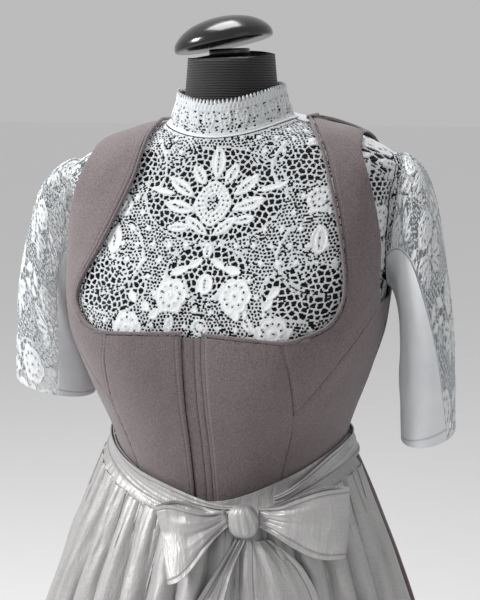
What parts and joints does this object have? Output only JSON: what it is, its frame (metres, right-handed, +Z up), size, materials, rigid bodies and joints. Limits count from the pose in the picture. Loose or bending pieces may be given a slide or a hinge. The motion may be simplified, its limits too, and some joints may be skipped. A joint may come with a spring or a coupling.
{
  "type": "dirndl on a dress form",
  "caption": "Sleeveless wool dirndl with gathered skirt, satin apron tied in a bow and lace blouse, on a limbless black dress form with a round base.",
  "frame": {"origin": "centre of the base plate's underside, on the floor", "axes": "+Z up, -Y the front of the dress, +X the wearer's left"},
  "size_m": [0.6868, 0.63, 1.5179],
  "materials": {
    "lace": "white cotton guipure lace",
    "cotton": "plain white cotton",
    "wool": "felted wool, mauve brown",
    "satin": "silver grey satin",
    "jersey": "black ribbed jersey",
    "gloss_black": "polished black",
    "black_steel": "satin black paint"
  },
  "bodies": {
    "root": {"base_plate": "black_steel", "stand_pole": "black_steel", "form_torso": "jersey", "cap_stem": "gloss_black", "neck_cap": "gloss_black", "blouse_front": "lace", "blouse_collar": "lace", "sleeve_lace_left": "lace", "sleeve_lace_right": "lace", "blouse_back": "cotton", "sleeve_under_left": "cotton", "sleeve_under_right": "cotton", "front_centre_left": "wool", "front_cup_left": "wool", "side_front_left": "wool", "back_left": "wool", "zip_fold_left": "wool", "front_centre_right": "wool", "front_cup_right": "wool", "side_front_right": "wool", "back_right": "wool", "zip_fold_right": "wool", "neckline_piping": "wool", "skirt_front": "wool", "skirt_back": "wool", "apron": "satin", "apron_waistband": "satin", "tie_left": "satin", "tie_right": "satin", "bow_knot": "satin", "bow_loop_left": "satin", "bow_loop_right": "satin", "bow_tail_left": "satin", "bow_tail_right": "satin"}
  },
  "joints": []
}
